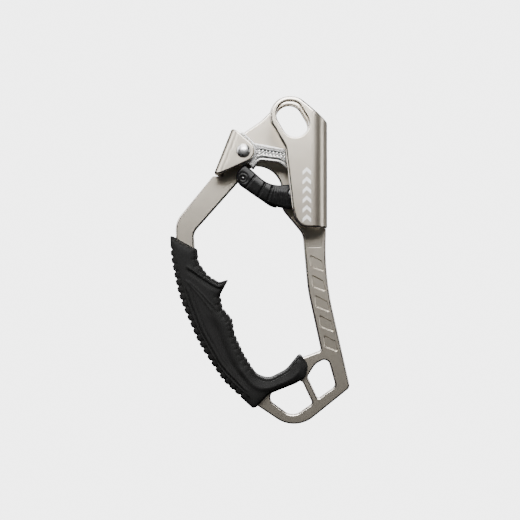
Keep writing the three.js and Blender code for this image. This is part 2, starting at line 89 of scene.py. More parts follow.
def rounded(corners, sagitta=0.004):
    """Corners (x, z, radius) as a closed run of points, each corner an arc."""
    points = []
    count = len(corners)
    for index, (x, z, radius) in enumerate(corners):
        corner = Vector((x, z))
        if radius == 0:
            points.append(corner)
            continue
        before = (Vector(corners[index - 1][:2]) - corner).normalized()
        after = (Vector(corners[(index + 1) % count][:2]) - corner).normalized()
        half = before.angle(after) / 2
        centre = corner + (before + after).normalized() * (radius / math.sin(half))
        start = corner + before * (radius / math.tan(half)) - centre
        turn = math.pi - 2 * half
        if before.x * after.y - before.y * after.x > 0:
            turn = -turn
        steps = max(2, math.ceil(abs(turn) / (2 * math.acos(1 - sagitta / radius))))
        first = math.atan2(start.y, start.x)
        for step in range(steps + 1):
            angle = first + turn * step / steps
            points.append(centre + radius * Vector((math.cos(angle), math.sin(angle))))
    return clean(np.array([tuple(p) for p in points]))


def clean(points):
    """The same closed run without points that lie on top of each other."""
    step = np.linalg.norm(points - np.roll(points, 1, axis=0), axis=1)
    return points[step > 0.01]


def circle(centre, radius, steps=64):
    angle = np.linspace(0, 2 * math.pi, steps, endpoint=False)
    return np.array(centre) + radius * np.stack([np.cos(angle), np.sin(angle)], axis=1)


def spaced(points, spacing):
    """A closed run with evenly spaced points."""
    closed = np.vstack([points, points[:1]])
    lengths = np.linalg.norm(np.diff(closed, axis=0), axis=1)
    along = np.concatenate([[0], np.cumsum(lengths)])
    count = max(8, int(round(along[-1] / spacing)))
    wanted = np.linspace(0, along[-1], count, endpoint=False)
    return np.stack([np.interp(wanted, along, closed[:, axis]) for axis in (0, 1)], axis=1)


def area(points):
    x, z = points.T
    return 0.5 * np.sum(x * np.roll(z, -1) - z * np.roll(x, -1))


def turned_way(points, anticlockwise):
    return points if (area(points) > 0) == anticlockwise else points[::-1]


def outward(points):
    """Normals that point out of the material, which lies to the left of the run."""
    edge = np.roll(points, -1, axis=0) - points
    edge /= np.linalg.norm(edge, axis=1)[:, None]
    normal = np.stack([edge[:, 1], -edge[:, 0]], axis=1)
    both = normal + np.roll(normal, 1, axis=0)
    both /= np.linalg.norm(both, axis=1)[:, None]
    mitre = np.sum(both * normal, axis=1)
    return both / np.maximum(mitre, 0.6)[:, None]


def inside(points, loops):
    """True where a point lies in the material between the loops."""
    result = np.zeros(len(points), bool)
    x, z = points.T
    for loop in loops:
        for (ax, az), (bx, bz) in zip(loop, np.roll(loop, -1, axis=0)):
            crosses = (az > z) != (bz > z)
            if crosses.any():
                rise = bz - az if bz != az else 1e-12
                result ^= crosses & (x < ax + (bx - ax) * (z - az) / rise)
    return result


def distance(points, line, closed=False):
    """Distance from each point to a run of straight pieces, and how far along it."""
    runs = np.vstack([line, line[:1]]) if closed else np.array(line, float)
    best = np.full(len(points), 1e9)
    along = np.zeros(len(points))
    gone = 0.0
    for a, b in zip(runs[:-1], runs[1:]):
        piece = b - a
        length = np.linalg.norm(piece)
        if length < 1e-9:
            continue
        share = np.clip((points - a) @ piece / length**2, 0, 1)
        apart = np.linalg.norm(points - (a + share[:, None] * piece), axis=1)
        nearer = apart < best
        best = np.where(nearer, apart, best)
        along = np.where(nearer, gone + share * length, along)
        gone += length
    return best, along


def smooth(low, high, value):
    share = np.clip((value - low) / (high - low), 0, 1)
    return share * share * (3 - 2 * share)


def curve(points, steps=8):
    """A smooth run through given points (Catmull-Rom)."""
    p = np.array(points, float)
    p = np.vstack([2 * p[0] - p[1], p, 2 * p[-1] - p[-2]])
    run = []
    for a, b, c, d in zip(p[:-3], p[1:-2], p[2:-1], p[3:]):
        for t in np.arange(steps) / steps:
            run.append(0.5 * (2 * b + (c - a) * t + (2 * a - 5 * b + 4 * c - d) * t**2
                              + (3 * b - a - 3 * c + d) * t**3))
    run.append(p[-2])
    return np.array(run)


# ---- meshes

ARC_STEPS = 7
SHARP = math.radians(16)  # edges that turn more than this stay sharp on sheet,
CAST = math.radians(30)  # on the cast cam,
SOFT = math.radians(50)  # and on moulded or turned pieces
BARE = (0.01, 0.01)  # a rim too small to see
MATED = (0.02, 0.02)  # and where two parts of a moulding meet


def grid_points(loops, spacing):
    """Points on a triangular grid inside the loops, clear of their edges."""
    low = loops[0].min(axis=0)
    high = loops[0].max(axis=0)
    row = spacing * math.sqrt(3) / 2
    points = []
    for index, z in enumerate(np.arange(low[1], high[1], row)):
        xs = np.arange(low[0] + index % 2 * spacing / 2, high[0], spacing)
        points += [(x, z) for x in xs]
    points = np.array(points)
    points = points[inside(points, loops)]
    for loop in loops:
        near, _ = distance(points, loop, closed=True)
        points = points[near > spacing * 0.6]
    return points


def fill(loops, extra):
    """Triangles that fill the material between the loops, through the extra points."""
    points = [tuple(p) for loop in loops for p in loop] + [tuple(p) for p in extra]
    edges = []
    first = 0
    for loop in loops:
        edges += [(first + i, first + (i + 1) % len(loop)) for i in range(len(loop))]
        first += len(loop)
    verts, _, faces, origin, _, _ = delaunay_2d_cdt(
        [Vector(p) for p in points], edges, [], 0, 1e-6
    )
    middle = np.array([sum((verts[i] for i in face), Vector((0, 0))) / 3 for face in faces])
    kept = inside(middle, loops)
    source = [ids[0] if ids else None for ids in origin]
    triangles = []
    for face, keep in zip(faces, kept):
        ids = [source[i] for i in face]
        if keep and None not in ids and len(set(ids)) == 3:
            triangles.append(ids)
    return triangles


class Body:
    """A mesh in the making: points in mm, faces, and the material of each face."""

    def __init__(self):
        self.points = np.zeros((0, 3))
        self.faces = []
        self.slots = []

    def add_points(self, points):
        first = len(self.points)
        self.points = np.vstack([self.points, points])
        return first

    def add_faces(self, faces, slot=0):
        self.faces += [tuple(face) for face in faces]
        self.slots += [slot] * len(faces)

    def add_strips(self, rings, slot=0):
        """Faces between rings of equal length, each given by its first point."""
        (_, count) = rings[0]
        for (a, _), (b, _) in zip(rings[:-1], rings[1:]):
            self.add_faces([
                (a + i, b + i, b + (i + 1) % count, a + (i + 1) % count) for i in range(count)
            ], slot)

    def cap(self, rings):
        """Closes the first and the last ring of a run."""
        (first, count), (last, _) = rings[0], rings[-1]
        self.add_faces([[first + i for i in range(count)]])
        self.add_faces([[last + i for i in reversed(range(count))]])


def at_depth(outline, y):
    """Points of the XZ plane, moved to a depth y."""
    return np.insert(outline, 1, y, axis=1)


def level(value):
    """A constant face height, or the function itself where it is one."""
    return value if callable(value) else lambda points: np.full(len(points), float(value))


def rim_sizes(rim, points):
    sizes = rim(points) if callable(rim) else rim
    return [np.broadcast_to(np.asarray(size, float), len(points)) for size in sizes]


def slab(loops, front, back, rim_front, rim_back, grain_front=None, grain_back=None,
         recesses=(), rim_slot=0, steps=ARC_STEPS):
    """A closed plate between two faces, with its edges rounded over all round.

    A rim is (how far it reaches in over the face, how far it reaches down the edge).
    Recesses are (outline, depth, widths of the walls), sunk into the front face.
    """
    front, back = level(front), level(back)
    loops = [turned_way(loop, index == 0) for index, loop in enumerate(loops)]
    body = Body()
    front_rings, back_rings = [], []
    for loop in loops:
        normal = outward(loop)
        rings = []
        for rim, face, way in ((rim_front, front, 1), (rim_back, back, -1)):
            width, height = rim_sizes(rim, loop)
            for step in range(steps + 1)[::way]:
                angle = math.pi / 2 * step / steps
                flat = loop - normal * (width * (1 - math.sin(angle)))[:, None]
                depth = face(flat) + way * height * (1 - math.cos(angle))
                rings.append((body.add_points(at_depth(flat, depth)), len(loop)))
        body.add_strips(rings, rim_slot)
        front_rings.append(rings[0])
        back_rings.append(rings[-1])
    sunk = [sink(body, front, *recess) for recess in recesses]
    fill_face(body, front_rings + sunk, front, grain_front, 1)
    fill_face(body, back_rings, back, grain_back, -1)
    return body


def wall_width(away, walls):
    """How wide a recess's wall is, from the widths of its left, right, low and top walls."""
    left, right, low, top = walls
    sideways, upward = away.T
    share = sideways**2 / (sideways**2 + upward**2)
    return (share * np.where(sideways > 0, left, right)
            + (1 - share) * np.where(upward > 0, low, top))


def sink(body, face, outline, depth, walls):
    """Adds a recess to the front face and returns the ring where it meets the face."""
    outline = turned_way(outline, False)
    away = outward(outline)
    floor = outline + away * wall_width(away, walls)[:, None]
    starts = []
    for ring, drop in ((outline, 0), (floor, depth)):
        points = at_depth(ring, face(ring) + level(drop)(ring))
        starts.append((body.add_points(points), len(ring)))
    body.add_strips(starts)
    last = starts[1][0] + len(floor) - 1
    body.add_faces([[last - i for i in triangle] for triangle in fill([floor[::-1]], [])])
    return starts[0]


def fill_face(body, rings, face, grain, way):
    """Fills a face between its rings, through a grid of points where it has a grain."""
    loops = [body.points[first:first + count][:, [0, 2]] for first, count in rings]
    extra = np.zeros((0, 2)) if grain is None else grid_points(loops, grain)
    triangles = fill(loops, extra)
    index = np.concatenate([np.arange(first, first + count) for first, count in rings])
    if len(extra):
        start = body.add_points(at_depth(extra, face(extra)))
        index = np.concatenate([index, np.arange(start, start + len(extra))])
    order = (0, 1, 2) if way > 0 else (2, 1, 0)
    body.add_faces([[int(index[t[i]]) for i in order] for t in triangles])


def turned_body(profile, centre, steps=72):
    """A closed piece turned about the Y axis: the profile is (radius, y) all round."""
    body = Body()
    rings = []
    for radius, y in profile:
        ring = at_depth(circle(centre, radius, steps), y)
        rings.append((body.add_points(ring), steps))
    body.add_strips(rings)
    if profile[0] != profile[-1]:
        body.cap(rings)
    return body


def coil_body(centre, radius, wire, turns, low, high):
    """Round wire wound about the Y axis."""
    body = Body()
    sides, per_turn = 14, 40
    share = np.linspace(0, 1, int(turns * per_turn) + 1)
    ring = np.linspace(0, 2 * math.pi, sides, endpoint=False)
    rings = []
    for turn, y in zip(2 * math.pi * turns * share, low + (high - low) * share):
        out = radius + wire / 2 * np.cos(ring)
        points = np.stack([centre[0] + out * math.cos(turn), y + wire / 2 * np.sin(ring),
                           centre[1] + out * math.sin(turn)], axis=1)
        rings.append((body.add_points(points), sides))
    body.add_strips(rings[::-1])
    body.cap(rings)
    return body


def joined(*bodies):
    whole = Body()
    for body in bodies:
        first = whole.add_points(body.points)
        whole.faces += [tuple(first + i for i in face) for face in body.faces]
        whole.slots += body.slots
    return whole


def placed(name, data):
    """A new object of the scene."""
    made = bpy.data.objects.new(name, data)
    bpy.context.collection.objects.link(made)
    return made


def piece(name, body, rides, cad_node=None, slot=None, sharp=SOFT):
    """Makes the object in its slot's materials, ties it to its CAD body and hides the CAD node it
    stands in for.
    """
    mesh = bpy.data.meshes.new(name)
    mesh.from_pydata([tuple(p) for p in body.points * MM], [], body.faces)
    for material in MATERIALS[slot]:
        mesh.materials.append(material)
    mesh.polygons.foreach_set("material_index", body.slots)
    mesh.update()
    bm = bmesh.new()
    bm.from_mesh(mesh)
    bmesh.ops.remove_doubles(bm, verts=bm.verts, dist=1e-6)
    bmesh.ops.recalc_face_normals(bm, faces=bm.faces)
    for edge in bm.edges:
        edge.smooth = len(edge.link_faces) != 2 or edge.calc_face_angle() < sharp
    for face in bm.faces:
        face.smooth = True
    bm.to_mesh(mesh)
    bm.free()
    made = placed(name, mesh)
    weighted = made.modifiers.new("face_weighted_normals", "WEIGHTED_NORMAL")
    weighted.keep_sharp = True
    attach(made, rides)
    if cad_node:
        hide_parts(cad_node)


# ---- materials

GRAIN_DEPTH = 0.03  # relief of a full-strength grain


def link(tree, source, target):
    tree.links.new(source, target)


def node(tree, kind, values=()):
    """A new shader node with these values on its inputs."""
    made = tree.nodes.new("ShaderNode" + kind)
    for name, value in dict(values).items():
        made.inputs[name].default_value = value
    return made


def noise(tree, scale, detail=3.0, stretch=(1, 1, 1)):
    """Noise fixed to the piece, with scale in features per metre."""
    coords = node(tree, "TexCoord")
    mapping = node(tree, "Mapping", {"Scale": stretch})
    texture = node(tree, "TexNoise", {"Scale": scale, "Detail": detail})
    link(tree, coords.outputs["Object"], mapping.inputs["Vector"])
    link(tree, mapping.outputs["Vector"], texture.inputs["Vector"])
    return texture.outputs["Fac"]


def spread(tree, value, low, high, from_low=0.3, from_high=0.7):
    """The value carried over from one range to another."""
    remap = node(tree, "MapRange", {"From Min": from_low, "From Max": from_high,
                                    "To Min": low, "To Max": high})
    link(tree, value, remap.inputs["Value"])
    return remap.outputs["Result"]


def finish(name, colour, metallic, roughness, patches=120, tint=0.06, rough_spread=0.05,
           grain=6000, bump=0.1, stretch=(1, 1, 1), specular=0.5):
    """A moulded or metal surface: uneven colour and gloss, and a fine grain in relief."""
    material = bpy.data.materials.new(name)
    material.use_nodes = True
    tree = material.node_tree
    shader = tree.nodes["Principled BSDF"]
    shader.inputs["Metallic"].default_value = metallic
    shader.inputs["Specular IOR Level"].default_value = specular
    mix = tree.nodes.new("ShaderNodeMix")
    mix.data_type = "RGBA"
    for socket, share in (("A", 1 - tint), ("B", 1 + tint)):
        mix.inputs[socket].default_value = (*[min(1, c * share) for c in colour], 1)
    link(tree, spread(tree, noise(tree, patches), 0, 1), mix.inputs["Factor"])
    link(tree, mix.outputs["Result"], shader.inputs["Base Color"])
    low, high = roughness - rough_spread, roughness + rough_spread
    link(tree, spread(tree, noise(tree, patches * 5), low, high), shader.inputs["Roughness"])
    relief = node(tree, "Bump", {"Strength": bump, "Distance": GRAIN_DEPTH * MM})
    link(tree, noise(tree, grain, 2, stretch), relief.inputs["Height"])
    link(tree, relief.outputs["Normal"], shader.inputs["Normal"])
    return material


ALUMINIUM = (0.652, 0.592, 0.497)
blasted = finish("blasted_aluminium", ALUMINIUM, 1, 0.34, tint=0.03, rough_spread=0.012,
                 grain=9000, bump=0.3)
bevelled = finish("polished_bevel", (0.775, 0.715, 0.635), 1, 0.22, rough_spread=0.02,
                  grain=9000, bump=0.1)
chrome = finish("chrome_plate", (0.80, 0.79, 0.775), 1, 0.25, tint=0.02, rough_spread=0.02,
                grain=2500, bump=0.08)
rivet_steel = finish("rivet_steel", (0.72, 0.715, 0.71), 1, 0.3, bump=0.06)
wire_steel = finish("spring_wire", (0.5, 0.5, 0.5), 1, 0.25, stretch=(1, 8, 1))
bronze = finish("sintered_bronze", (0.55, 0.38, 0.19), 1, 0.42, grain=5000, bump=0.4)
nylon = finish("black_nylon", (0.008, 0.008, 0.008), 0, 0.26, grain=3000, bump=0.12,
               specular=0.22)
rubber = finish("black_rubber", (0.014, 0.0138, 0.0135), 0, 0.58, grain=3500, bump=0.3,
                specular=0.08)
paint = finish("bright_marks", (0.97, 0.96, 0.94), 1, 0.5, tint=0.03, grain=5000)

MATERIALS = {"aluminium": [blasted, bevelled], "cam_steel": [chrome], "bronze": [bronze],
             "rivet_steel": [rivet_steel], "spring_steel": [wire_steel],
             "catch_plastic": [nylon], "grip_rubber": [rubber], None: [paint]}

# ---- frame: the flat blank

RING = np.array([-12.1, 20.2])
RING_R = 11.67
RING_TOP = 12.07  # its rim's radius where that meets the slanted top edge
RING_ENDS = (math.radians(219), math.radians(144))  # where the rim ends on flange and plate
SLANT_ANGLE = math.radians(51.4)
SLANT_FOOT = 17.7
SLANT_RISE = 12.2 / 15.3

REAR_MID = REAR_BEND - SHEET / 2  # radii of the bends in the middle of the sheet
FRONT_MID = FRONT_BEND - SHEET / 2
EAR_MID = EAR_BEND - SHEET / 2

REAR_START = APEX - REAR_BEND  # from here on: where bends start and end in the flat blank
SLIT_START = REAR_START + 0.3  # the slit under the flange starts just past the bend line
WALL_START = REAR_START + REAR_MID * math.pi / 2
FRONT_START = WALL_START + PLATE_REAR - REAR_BEND
FLANGE_START = FRONT_START + FRONT_MID * math.pi / 2

EAR_START = EAR_WEB - EAR_BEND
EAR_ARC = EAR_MID * math.pi / 2
WEB_START = EAR_START + EAR_ARC
WEB_END = WEB_START + 2 * (PLATE_REAR - EAR_BEND)
EAR_FLAT = WEB_END + EAR_ARC
OUT = np.array([-math.cos(FOLD_LEAN), math.sin(FOLD_LEAN)])
UP = np.array([math.sin(FOLD_LEAN), math.cos(FOLD_LEAN)])
WEB_TOP = 9.9

FLANGE_EDGE = [(-7.8, FLANGE_FOOT, 8.5), (-10.8, -33, 14), (-14.9, 2, 10)]
EAR_TOP = (-45.7, 14.2)
EAR_TIP = (-27, -1.7, 6.6)
EAR_HEEL = (-52.6, -13.3)
SHOULDER = (-28.6, 20, 24)
COLUMN = [(24.79, -140.2, 3.5), (9.8, -74, 170)]
ARM = [(-80.2, -40.4, 14), (-79.4, -68, 60), (-70.5, -101, 60), (-49, -139.2, 30),
       (-8, -166.58, 18.5)]
HAND_HOLE = [(-33.8, -7.1, 3.5), (-16.6, -8.7, 15), (-16, -33.4, 6), (-3.7, -48.2, 10),
             (-0.6, -82, 80), (7.3, -118, 1.5), (-4.6, -122.4, 6), (-17.8, -136.2, 12),
             (-32.6, -139.2, 9), (-60.3, -94, 40), (-67.4, -74, 60), (-69.4, -47.2, 8)]
FOOT_HOLES = [
    [(-27.6, -145.2, 4.4), (-4.5, -135.6, 2.6), (2.2, -149.9, 1.8), (-9.8, -158.2, 8)],
    [(11.3, -122.1, 3.4), (16.1, -139.4, 3.2), (5.4, -147.1, 1.3), (-0.9, -133.7, 2.5),
     (3.9, -126.2, 8)],
]
TOP_HOLE = {"centre": (-10.4, 18.5), "radius": 7.85, "half": 3.1, "lean": -59.5}
POCKETS = {"count": 5, "top": -60.2, "pitch": 12.05, "height": 7.3, "slope": -0.46}
POCKET_RIM = 2.6
POCKET_DEPTH = 0.7
POCKET_WALLS = (0.76, 0.17, 0.87, 0.6)  # widths of the left, right, low and top walls
TOP_POCKET_DEPTH = 0.2
TOP_POCKET = [(-2.6, -46.9, 1.2), (7.8, -46.9, 1.2), (7.6, -56.4, 1.2), (-1.4, -56.4, 1.2)]
TOP_POCKET_WALLS = (0.3, 0.3, 0.45, 0.3)
TOP_POCKET_FADE = (-46.6, -54)  # it starts at nothing and is full depth lower down
PLATE_RIM = 1.1  # rounding of the inner side's edges
FLANGE_RIM = (1.5, 1.3)  # and of the outer side's: in over the face, down the edge
EAR_RIM = (0.85, 0.9)
SQUARE_RIM = 0.03  # share of a rim that is left beside the slits


def from_axle(x, z):
    """(out of the ear's web, up along it) for a point of the XZ plane."""
    away = np.array([x - AXLE[0], z - AXLE[1]])
    return float(away @ OUT), float(away @ UP)


def on_ear(out, up):
    """The flat blank's point this far out of the axle towards the web, and up."""
    return tuple(np.array(AXLE) + out * OUT + up * UP)


def line_through(a, b):
    """Height along the web over the distance out of it, for the line from a to b."""
    (out_a, up_a), (out_b, up_b) = from_axle(*a), from_axle(*b)
    return lambda out: up_a + (up_b - up_a) * (out - out_a) / (out_b - out_a)


def slant(x):
    return SLANT_FOOT + (APEX - x) * SLANT_RISE


def ring_arc(start, end):
    """The rim round the top hole, growing a little to meet the slanted edge."""
    run = []
    for angle in np.linspace(start, end, 70):
        share = smooth(math.pi / 2, SLANT_ANGLE, angle) if angle > SLANT_ANGLE else 1.0
        radius = RING_R + (RING_TOP - RING_R) * share
        run.append(RING + radius * np.array([math.cos(angle), math.sin(angle)]))
    return run


def channel_top():
    """The slanted edge on its way over both bends of the channel."""
    run = []
    for angle in np.linspace(math.pi / 2, 0, 9):
        s = FRONT_START + FRONT_MID * angle
        run.append((s, slant(FRONT_BEND * math.cos(angle)), 0))
    for angle in np.linspace(math.pi / 2, 0, 7):
        s = REAR_START + REAR_MID * angle
        run.append((s, slant(REAR_START + REAR_BEND * math.sin(angle)), 0))
    return run


def capped(value, cap):
    """The lower of a value and a cap, with a rounded corner between them."""
    softness = 1.2
    gap = max(softness - abs(value - cap), 0) / softness
    return min(value, cap) - gap * gap * softness / 4


def ear_foot(out):
    """How far up the ear its foot is, at a distance out from the axle."""
    return (FOLD_FOOT - out * OUT[1]) / UP[1]


def ear_slit_end():
    """How far along x the slit under the ear runs in, to where the bend starts."""
    return on_ear(EAR_START, ear_foot(EAR_START))[0]


def ear_chain():
    """The ear's outline in the flat blank, from the plate's top edge round to its foot."""
    plate_top = line_through(SHOULDER[:2], EAR_TOP)
    ear_top = line_through(EAR_TOP, EAR_TIP[:2])
    ear_low = line_through(EAR_TIP[:2], EAR_HEEL)
    bend = []
    for angle in np.linspace(0, math.pi / 2, 8):
        reach = math.sin(angle)
        bend.append((EAR_MID * angle, EAR_START + EAR_BEND * reach,
                     ear_foot(EAR_START + EAR_MID * reach)))
    top = [(EAR_START + run, capped(plate_top(out), WEB_TOP)) for run, out, _ in bend]
    top += [(EAR_FLAT - run, capped(ear_top(out), WEB_TOP)) for run, out, _ in bend[::-1]]
    low = [(EAR_FLAT - run, max(ear_low(out), foot)) for run, out, foot in bend]
    low += [(EAR_START + run, foot) for run, _, foot in bend[::-1]]
    tip_out, tip_up = from_axle(*EAR_TIP[:2])
    tip = (*on_ear(EAR_FLAT + EAR_START - tip_out, tip_up), EAR_TIP[2])
    return [*[(*on_ear(*p), 0) for p in top], tip, *[(*on_ear(*p), 0) for p in low]]


def blank_outline():
    """The whole sheet laid flat, from the foot of the column round to it again."""
    corners = [*COLUMN, (APEX - 0.1, FLANGE_FOOT - SLIT, 0),
               (SLIT_START, FLANGE_FOOT - SLIT, 0), (SLIT_START, FLANGE_FOOT, 0)]
    corners += [(FLANGE_START - x, z, r) for x, z, r in FLANGE_EDGE]
    corners += [(FLANGE_START - x, z, 0) for x, z in ring_arc(RING_ENDS[0], SLANT_ANGLE)]
    corners += channel_top()
    corners += [(x, z, 0) for x, z in ring_arc(SLANT_ANGLE, RING_ENDS[1])]
    corners += [SHOULDER, *ear_chain(), (ear_slit_end(), FOLD_FOOT - SLIT, 0),
                (ELBOW, FOLD_FOOT - SLIT, 1), *ARM]
    return rounded(corners)


def top_hole(mirrored):
    centre = np.array(TOP_HOLE["centre"])
    lean = math.radians(TOP_HOLE["lean"])
    along = TOP_HOLE["half"] * np.array([math.cos(lean), math.sin(lean)])
    run = []
    for side in (1, -1):
        start = lean - side * math.pi / 2
        for angle in np.linspace(start, start + math.pi, 60):
            reach = TOP_HOLE["radius"] * np.array([math.cos(angle), math.sin(angle)])
            run.append(centre + side * along + reach)
    run = clean(np.array(run))
    if mirrored:
        run[:, 0] = FLANGE_START - run[:, 0]
    return run


def pocket(index):
    """A pocket pressed into the column: slanted across, and lower on the right."""
    top = POCKETS["top"] - index * POCKETS["pitch"]
    height = POCKETS["height"]

    def edge(a, b, z):
        return a[0] + (b[0] - a[0]) * (z - a[1]) / (b[1] - a[1])

    inner = ((-3.7, -48.2), (-0.6, -82)) if top > -82 else ((-0.6, -82), (7.3, -118))
    outer = ((9.8, -50), (12, -80)) if top > -80 else ((12, -80), (20.2, -120.4))
    left = edge(*inner, top - height / 2) + POCKET_RIM
    right = edge(*outer, top - height) - POCKET_RIM
    drop = POCKETS["slope"] * (right - left)
    return rounded([(left, top, 0.8), (right - 0.8, top + drop, 0.8),
                    (right + 1.2, top + drop - height, 1.1),
                    (left + 0.4, top - height - 0.2, 1.8)])


# ---- frame: folding it


def fold_channel(s, t):
    """(x, y) of a point that lies at s along the blank and t deep in the sheet."""
    inner_rear = REAR_BEND - SHEET + t
    inner_front = FRONT_BEND - SHEET + t
    rear = (s - REAR_START) / REAR_MID
    front = (s - FRONT_START) / FRONT_MID
    if s <= WALL_START:
        middle = PLATE_REAR - REAR_BEND
        return REAR_START + inner_rear * math.sin(rear), middle + inner_rear * math.cos(rear)
    if s <= FRONT_START:
        return APEX - SHEET + t, PLATE_REAR - REAR_BEND - (s - WALL_START)
    if s <= FLANGE_START:
        return inner_front * math.cos(front), -inner_front * math.sin(front)
    return FLANGE_START - s, -inner_front


def fold_ear(e, t):
    """(distance out of the axle, y) for the ear's fold."""
    radius = EAR_BEND - SHEET + t
    middle = PLATE_REAR - EAR_BEND
    if e <= WEB_START:
        angle = (e - EAR_START) / EAR_MID
        return EAR_START + radius * math.sin(angle), middle + radius * math.cos(angle)
    if e <= WEB_END:
        return EAR_START + radius, middle - (e - WEB_START)
    if e <= EAR_FLAT:
        angle = (EAR_FLAT - e) / EAR_MID
        return EAR_START + radius * math.sin(angle), -middle - radius * math.cos(angle)
    return EAR_START + EAR_FLAT - e, -middle - radius


def in_channel(x, z):
    return x > REAR_START and z > FLANGE_FOOT - SLIT / 2


def in_ear(x, z):
    return from_axle(x, z)[0] > EAR_START and z > FOLD_FOOT - SLIT / 2


def folded(body):
    """The flat blank, cut along the bends and folded up."""
    bm = bmesh.new()
    verts = [bm.verts.new(point) for point in body.points]
    for face, slot in zip(body.faces, body.slots):
        bm.faces.new([verts[i] for i in face]).material_index = slot
    rear = np.linspace(REAR_START, WALL_START, 8)
    front = np.linspace(FRONT_START, FLANGE_START, 12)
    web_in = np.linspace(EAR_START, WEB_START, 8)
    web_out = np.linspace(WEB_END, EAR_FLAT, 8)
    across = (OUT[0], 0, OUT[1])
    cuts = [((s, 0, 0), (1, 0, 0), in_channel) for s in (*rear, *front)]
    for e in (*web_in, *web_out):
        x, z = on_ear(e, 0)
        cuts.append(((x, 0, z), across, in_ear))
    for place, normal, region in cuts:
        faces = [f for f in bm.faces if any(region(v.co.x, v.co.z) for v in f.verts)]
        edges = {edge for f in faces for edge in f.edges}
        points = {v for f in faces for v in f.verts}
        bmesh.ops.bisect_plane(
            bm, geom=[*faces, *edges, *points], dist=1e-4, plane_co=place, plane_no=normal
        )
    for vert in bm.verts:
        x, y, z = vert.co
        if in_channel(x, z):
            vert.co.x, vert.co.y = fold_channel(x, y - PLATE_FACE)
        elif in_ear(x, z):
            out, up = from_axle(x, z)
            out, vert.co.y = fold_ear(out, y - PLATE_FACE)
            vert.co.x, vert.co.z = on_ear(out, up)
    bm.verts.index_update()
    made = Body()
    made.add_points([tuple(vert.co) for vert in bm.verts])
    for face in bm.faces:
        made.add_faces([[vert.index for vert in face.verts]], face.material_index)
    bm.free()
    return made


def off_slits(points):
    """Almost 0 at the relief slits, where the edges stay square, and 1 elsewhere."""
    flange_slit, ear_slit = FLANGE_FOOT - SLIT / 2, FOLD_FOOT - SLIT / 2
    slits = [[(SLIT_START, flange_slit), (APEX, flange_slit)],
             [(ear_slit_end(), ear_slit), (ELBOW, ear_slit)]]
    near = np.minimum(*[distance(points, slit)[0] for slit in slits])
    return SQUARE_RIM + (1 - SQUARE_RIM) * smooth(0.15, 1.6, near)


def plate_rim(points):
    """The rounding of the edges on the sheet's inner side, seen on the plate's front."""
    width = PLATE_RIM * off_slits(points)
    return width, width


def outer_rim(points):
    """The outer side's rounding is broad round the flange and softer on the ear."""
    hole, _ = distance(points, top_hole(True), closed=True)
    flange = (points[:, 0] > FLANGE_START - 2) & (hole > 0.05)
    share = off_slits(points)
    return [np.where(flange, broad, narrow) * share
            for broad, narrow in zip(FLANGE_RIM, EAR_RIM)]


def make_frame():
    loops = [blank_outline(), rounded(HAND_HOLE)]
    loops += [rounded(hole) for hole in FOOT_HOLES]
    loops += [top_hole(False), top_hole(True)]
    loops += [circle(AXLE, AXLE_BORE), circle(on_ear(EAR_FLAT + EAR_START, 0), AXLE_BORE)]

    def shallow(points):
        return TOP_POCKET_DEPTH * smooth(*TOP_POCKET_FADE, points[:, 1])

    recesses = [(rounded(TOP_POCKET), shallow, TOP_POCKET_WALLS)]
    for index in range(POCKETS["count"]):
        recesses.append((pocket(index), POCKET_DEPTH, POCKET_WALLS))
    blank = slab(loops, PLATE_FACE, PLATE_REAR, plate_rim, outer_rim,
                 recesses=recesses, rim_slot=1)
    piece("frame_sheet", folded(blank), "handle", "frame", "aluminium", SHARP)


# ---- cam


def spiral_point(degrees):
    angle = math.radians(degrees)
    radius = SPIRAL_R * math.exp(SPIRAL_K * angle)
    return AXLE[0] + radius * math.cos(angle), AXLE[1] - radius * math.sin(angle)


def cam_outline():
    face = [(*spiral_point(degrees), 0) for degrees in np.linspace(*SPIRAL_SPAN, 25)]
    return rounded([(-41, 12.9, 1.8), (-32.4, 4.9, 1.2), *face, (-4, -33, 3),
                    (-16.4, -30.6, 5.5), (-11.6, -18, 3), (-12.4, -11.2, 2.5),
                    (-18.2, -6.3, 7), (-29.8, -5, 2.6), (-33.4, -9.7, 0.5), (-38.5, -5.4, 3),
                    (-43.5, -6.2, 3), (-46, 2, 3)])


def cam_half(points):
    """Half the cam's width: full at the hub, narrow at the nose and at the tongue."""
    x, z = points.T
    half = np.interp(x, [-3.5, 1, 3.4, 6.0], [CAM_HALF, NOSE_HALF, NOSE_HALF, 2.4])
    tongue = smooth(-16, -16.5, z) * smooth(-24.4, -23.9, x) * smooth(-1.5, -2, x)
    return half + (np.minimum(half, TONGUE_HALF) - half) * tongue


CAM_PANEL = [(-31.7, 1.9, 1), (-5, -2.3, 1), (-5, -10, 1), (-9.6, -9.2, 3),
             (-17.6, -3.5, 7), (-28.6, -2, 4), (-31.2, -2.9, 1)]
CAM_GROOVE = curve([(-31.6, -5.1), (-30.2, -4.1), (-28.2, -3.7), (-23.5, -4.2), (-17.6, -5.1),
                    (-14.6, -7.3), (-12, -9.8)], 4)
CAM_SUNK = 0.5  # depth of the panel
CAM_PANEL_WALLS = (0.45, 0.45, 0.5, 0.85)
GROOVE_WIDTH = 1.4
GROOVE_DEPTH = 0.32
GROOVE_WALLS = (0.3, 0.3, 0.5, 0.6)
CAM_RIM = (0.34, 0.4)
HUB_BORE = 4.02
CAM_BARS = {"count": 11, "pitch": 2.1, "length": 1.6, "lean": 32, "width": 0.8, "height": 0.24,
            "rim": (0.35, 0.22), "start": (-30, 0.44), "slope": -0.15, "rows": (0.5, -1.725)}
TEETH = {"rows": 9, "first": 6, "step": 3.6, "apart": 2.2, "lean": math.radians(20),
         "base": 0.95, "height": 1, "root": 0.5}


